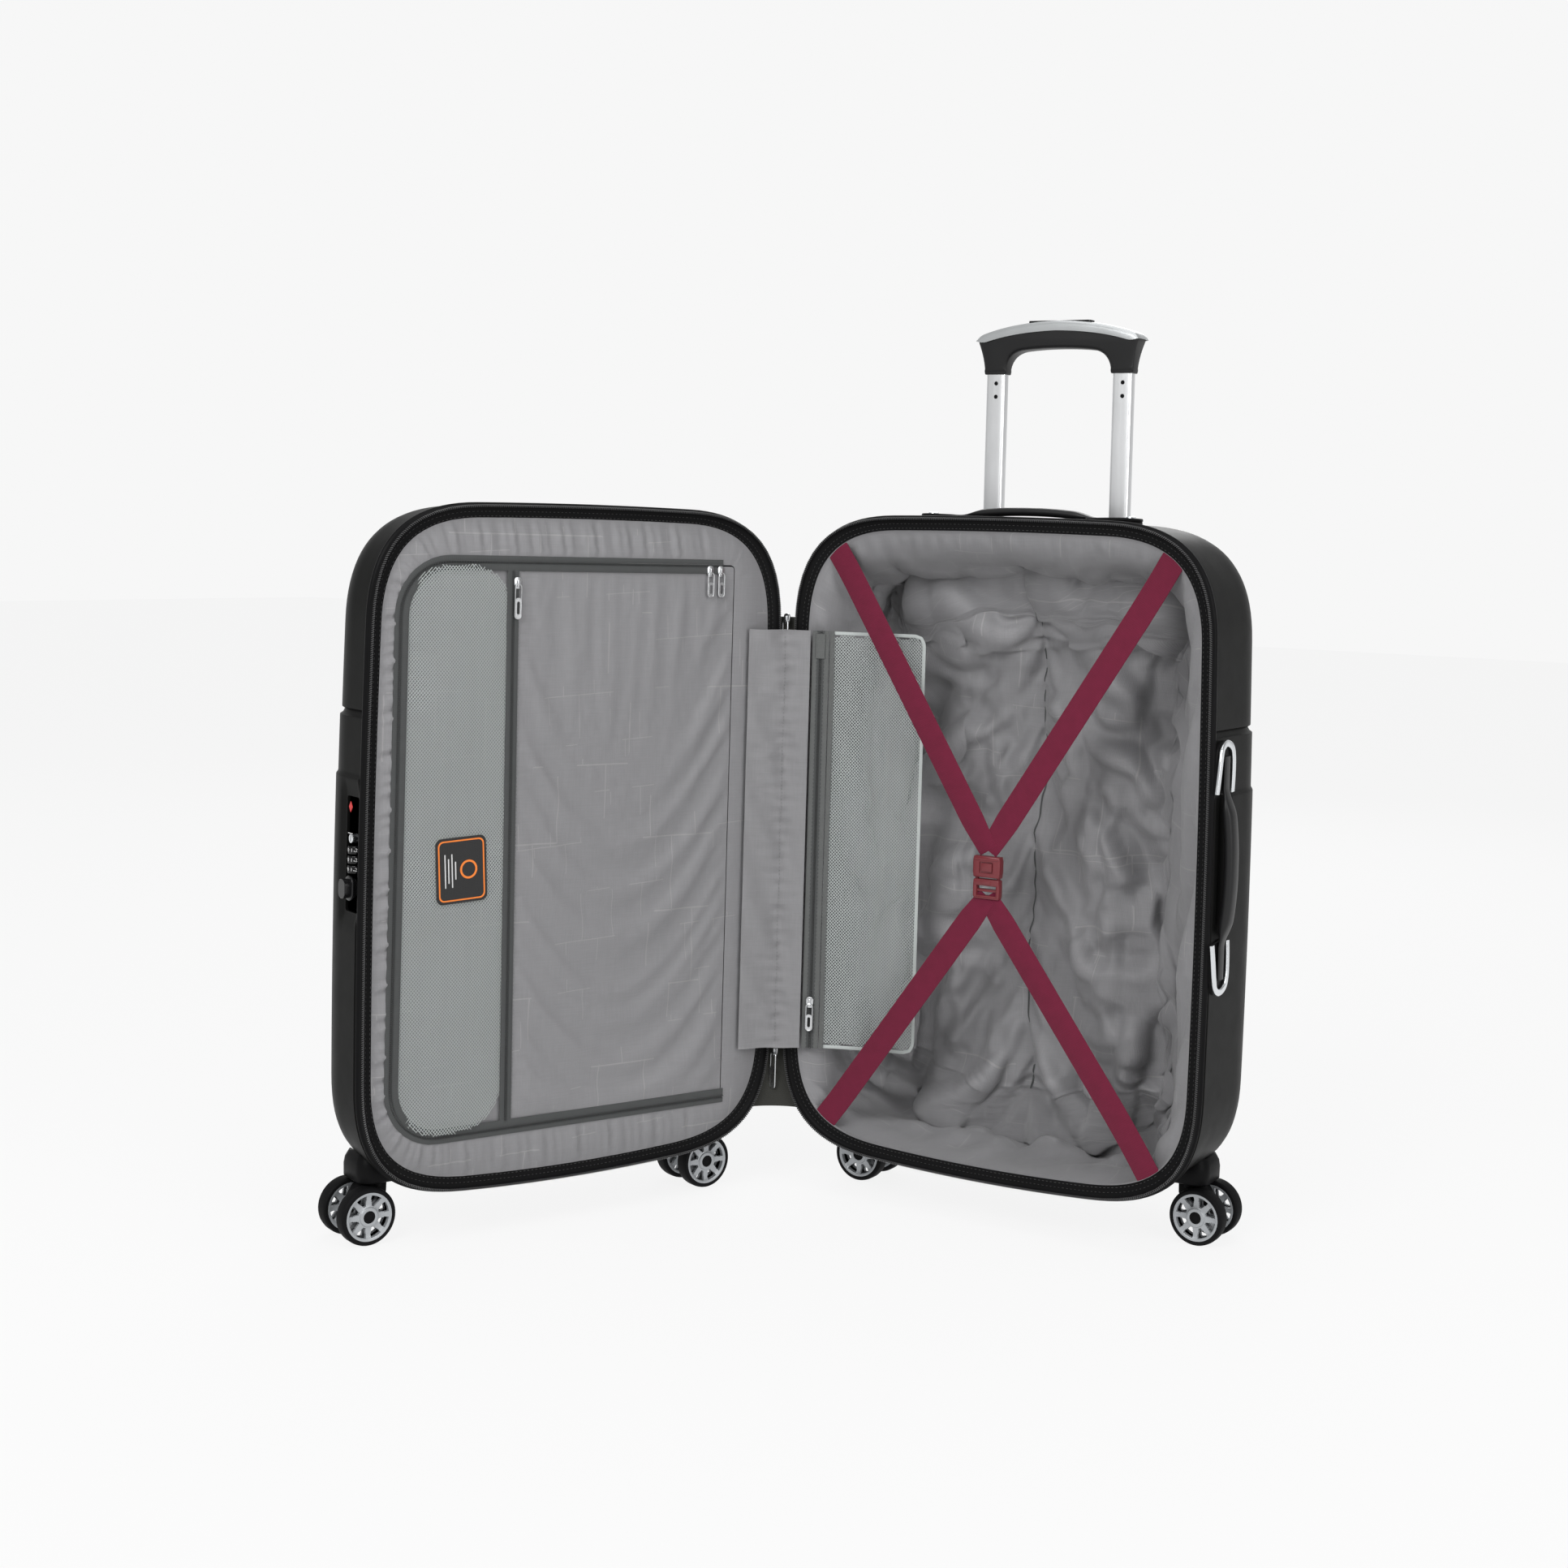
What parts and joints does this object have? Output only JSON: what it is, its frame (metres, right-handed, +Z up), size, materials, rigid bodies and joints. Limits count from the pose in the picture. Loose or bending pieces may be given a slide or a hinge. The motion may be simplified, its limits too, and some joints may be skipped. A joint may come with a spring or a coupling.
{
  "type": "hard shell suitcase on wheels",
  "caption": "Hard shell suitcase opened like a book, with a lined base, zipped divider, crossed straps, pull handle, carry handles and swivel wheels.",
  "frame": {"origin": "on the floor under the middle of the whole case as it stands open", "axes": "+Z up, the deep half opens towards -Y and lies along +X from the vertical hinge, the lid opens round it by 112.8 degrees"},
  "size_m": [0.7064, 0.5724, 0.855],
  "materials": {
    "shell": "fine matte texture",
    "black_trim": "matte black",
    "satin_lining": "woven satin with a faint line print",
    "grey_mesh": "knitted mesh",
    "grey_tape": "woven tape with a coil zip",
    "aluminium_tube": "bright anodised",
    "silver_plastic": "silver finish",
    "zip_metal": "polished",
    "burgundy_webbing": "woven elastic",
    "red_buckle": "smooth",
    "wheel_tyre": "matte",
    "black_grip": "soft touch",
    "black_fabric": "woven"
  },
  "bodies": {
    "base": {"base_shell": "shell", "base_rim": "black_trim", "base_lining": "satin_lining", "handle_housing": "black_trim", "handle_guide_frame": "aluminium_tube", "top_handle_bracket_outer": "silver_plastic", "top_handle_bracket_inner": "silver_plastic", "side_handle_bracket_upper": "silver_plastic", "side_handle_bracket_lower": "silver_plastic", "strap_upper_inner": "burgundy_webbing", "strap_upper_outer": "burgundy_webbing", "strap_lower_inner": "burgundy_webbing", "strap_lower_outer": "burgundy_webbing", "buckle_socket": "red_buckle", "pocket_band": "grey_tape", "pocket_mesh": "grey_mesh", "main_zip_slider_top": "zip_metal", "main_zip_slider_bottom": "zip_metal", "hinge_fabric": "black_fabric", "hinge_flap": "satin_lining", "base_inner_caster_housing": "black_trim", "base_outer_caster_housing": "black_trim"},
    "handle_middle": {"handle_middle_tube_inner": "aluminium_tube", "handle_middle_tube_outer": "aluminium_tube"},
    "handle_upper": {"handle_upper_tube_inner": "aluminium_tube", "handle_upper_tube_outer": "aluminium_tube", "handle_grip": "black_grip"},
    "handle_button": {"handle_button": "silver_plastic"},
    "top_handle": {"top_handle_grip": "black_grip"},
    "side_handle": {"side_handle_grip": "black_grip"},
    "buckle_clip": {"buckle_clip": "red_buckle"},
    "pocket_slider": {"pocket_slider": "zip_metal"},
    "lid": {"lid_shell": "shell", "lid_rim": "black_trim", "lid_lining": "satin_lining", "lock_housing": "black_trim", "lid_inner_caster_housing": "black_trim", "lid_outer_caster_housing": "black_trim"},
    "divider": {"divider_door": "satin_lining", "divider_mesh": "grey_mesh", "divider_slider_upper": "zip_metal", "divider_slider_lower": "zip_metal"},
    "divider_pocket_slider": {"divider_pocket_slider": "zip_metal"},
    "lock_dial_1": {"lock_dial_1": "black_trim"},
    "lock_dial_2": {"lock_dial_2": "black_trim"},
    "lock_dial_3": {"lock_dial_3": "black_trim"},
    "lock_key": {"lock_key_cylinder": "zip_metal"},
    "lock_release": {"lock_release": "black_trim"},
    "base_inner_caster": {"base_inner_caster_fork": "black_trim"},
    "base_inner_wheel_front": {"base_inner_wheel_front": "wheel_tyre"},
    "base_inner_wheel_rear": {"base_inner_wheel_rear": "wheel_tyre"},
    "base_outer_caster": {"base_outer_caster_fork": "black_trim"},
    "base_outer_wheel_front": {"base_outer_wheel_front": "wheel_tyre"},
    "base_outer_wheel_rear": {"base_outer_wheel_rear": "wheel_tyre"},
    "lid_inner_caster": {"lid_inner_caster_fork": "black_trim"},
    "lid_inner_wheel_front": {"lid_inner_wheel_front": "wheel_tyre"},
    "lid_inner_wheel_rear": {"lid_inner_wheel_rear": "wheel_tyre"},
    "lid_outer_caster": {"lid_outer_caster_fork": "black_trim"},
    "lid_outer_wheel_front": {"lid_outer_wheel_front": "wheel_tyre"},
    "lid_outer_wheel_rear": {"lid_outer_wheel_rear": "wheel_tyre"}
  },
  "joints": [
    {"name": "lid_hinge", "type": "hinge", "parent": "base", "child": "lid", "pos_m": [-0.10377, 0.12123, 0.35], "axis": [0, 0, 1], "range_deg": [-67.2, 112.8], "deforming": ["hinge_fabric", "hinge_flap"]},
    {"name": "divider_hinge", "type": "hinge", "parent": "lid", "child": "divider", "pos_m": [-0.1298, 0.06601, 0.35], "axis": [0, 0, -1], "range_deg": [-95, 0]},
    {"name": "handle_middle_slide", "type": "slide", "parent": "base", "child": "handle_middle", "axis": [0, 0, 1], "range_m": [0, 0.19]},
    {"name": "handle_upper_slide", "type": "slide", "parent": "handle_middle", "child": "handle_upper", "axis": [0, 0, 1], "range_m": [-0.19, 0]},
    {"name": "handle_button_press", "type": "slide", "parent": "handle_upper", "child": "handle_button", "axis": [0, 0, -1], "range_m": [0, 0.0025], "stiffness_N_per_m": 100},
    {"name": "top_handle_lift", "type": "slide", "parent": "base", "child": "top_handle", "axis": [0, 0, 1], "range_m": [0, 0.0075], "stiffness_N_per_m": 200},
    {"name": "side_handle_pull", "type": "slide", "parent": "base", "child": "side_handle", "axis": [1, 0, 0], "range_m": [0, 0.0075], "stiffness_N_per_m": 200},
    {"name": "buckle_release", "type": "slide", "parent": "base", "child": "buckle_clip", "axis": [0, 0, -1], "range_m": [0, 0.025], "deforming": ["strap_lower_inner", "strap_lower_outer"]},
    {"name": "pocket_zip", "type": "slide", "parent": "base", "child": "pocket_slider", "axis": [0, 0, 1], "range_m": [0, 0.33]},
    {"name": "divider_pocket_zip", "type": "slide", "parent": "divider", "child": "divider_pocket_slider", "axis": [0, 0, -1], "range_m": [0, 0.44]},
    {"name": "lock_dial_1_turn", "type": "hinge", "parent": "lid", "child": "lock_dial_1", "pos_m": [-0.29689, -0.27369, 0.3545], "axis": [0, 0, 1], "continuous": true},
    {"name": "lock_dial_2_turn", "type": "hinge", "parent": "lid", "child": "lock_dial_2", "pos_m": [-0.29689, -0.27369, 0.346], "axis": [0, 0, 1], "continuous": true},
    {"name": "lock_dial_3_turn", "type": "hinge", "parent": "lid", "child": "lock_dial_3", "pos_m": [-0.29689, -0.27369, 0.3375], "axis": [0, 0, 1], "continuous": true},
    {"name": "lock_key_turn", "type": "hinge", "parent": "lid", "child": "lock_key", "pos_m": [-0.29829, -0.27701, 0.3645], "axis": [-0.3875, -0.9219, 0], "range_deg": [0, 90]},
    {"name": "lock_release_slide", "type": "slide", "parent": "lid", "child": "lock_release", "axis": [0, 0, -1], "range_m": [0, 0.004], "stiffness_N_per_m": 60},
    {"name": "base_inner_swivel", "type": "hinge", "parent": "base", "child": "base_inner_caster", "pos_m": [-0.05877, 0.21223, 0.048], "axis": [0, 0, 1], "continuous": true},
    {"name": "base_inner_wheel_front_spin", "type": "hinge", "parent": "base_inner_caster", "child": "base_inner_wheel_front", "pos_m": [-0.04377, 0.21223, 0.026], "axis": [0, 1, 0], "continuous": true},
    {"name": "base_inner_wheel_rear_spin", "type": "hinge", "parent": "base_inner_caster", "child": "base_inner_wheel_rear", "pos_m": [-0.04377, 0.21223, 0.026], "axis": [0, 1, 0], "continuous": true},
    {"name": "base_outer_swivel", "type": "hinge", "parent": "base", "child": "base_outer_caster", "pos_m": [0.29823, 0.21223, 0.048], "axis": [0, 0, 1], "continuous": true},
    {"name": "base_outer_wheel_front_spin", "type": "hinge", "parent": "base_outer_caster", "child": "base_outer_wheel_front", "pos_m": [0.31323, 0.21223, 0.026], "axis": [0, 1, 0], "continuous": true},
    {"name": "base_outer_wheel_rear_spin", "type": "hinge", "parent": "base_outer_caster", "child": "base_outer_wheel_rear", "pos_m": [0.31323, 0.21223, 0.026], "axis": [0, 1, 0], "continuous": true},
    {"name": "lid_inner_swivel", "type": "hinge", "parent": "lid", "child": "lid_inner_caster", "pos_m": [-0.17006, 0.10029, 0.048], "axis": [0, 0, 1], "continuous": true},
    {"name": "lid_inner_wheel_front_spin", "type": "hinge", "parent": "lid_inner_caster", "child": "lid_inner_wheel_front", "pos_m": [-0.17588, 0.08646, 0.026], "axis": [-0.9219, 0.3875, 0], "continuous": true},
    {"name": "lid_inner_wheel_rear_spin", "type": "hinge", "parent": "lid_inner_caster", "child": "lid_inner_wheel_rear", "pos_m": [-0.17588, 0.08646, 0.026], "axis": [-0.9219, 0.3875, 0], "continuous": true},
    {"name": "lid_outer_swivel", "type": "hinge", "parent": "lid", "child": "lid_outer_caster", "pos_m": [-0.30841, -0.22882, 0.048], "axis": [0, 0, 1], "continuous": true},
    {"name": "lid_outer_wheel_front_spin", "type": "hinge", "parent": "lid_outer_caster", "child": "lid_outer_wheel_front", "pos_m": [-0.31422, -0.24265, 0.026], "axis": [-0.9219, 0.3875, 0], "continuous": true},
    {"name": "lid_outer_wheel_rear_spin", "type": "hinge", "parent": "lid_outer_caster", "child": "lid_outer_wheel_rear", "pos_m": [-0.31422, -0.24265, 0.026], "axis": [-0.9219, 0.3875, 0], "continuous": true}
  ]
}
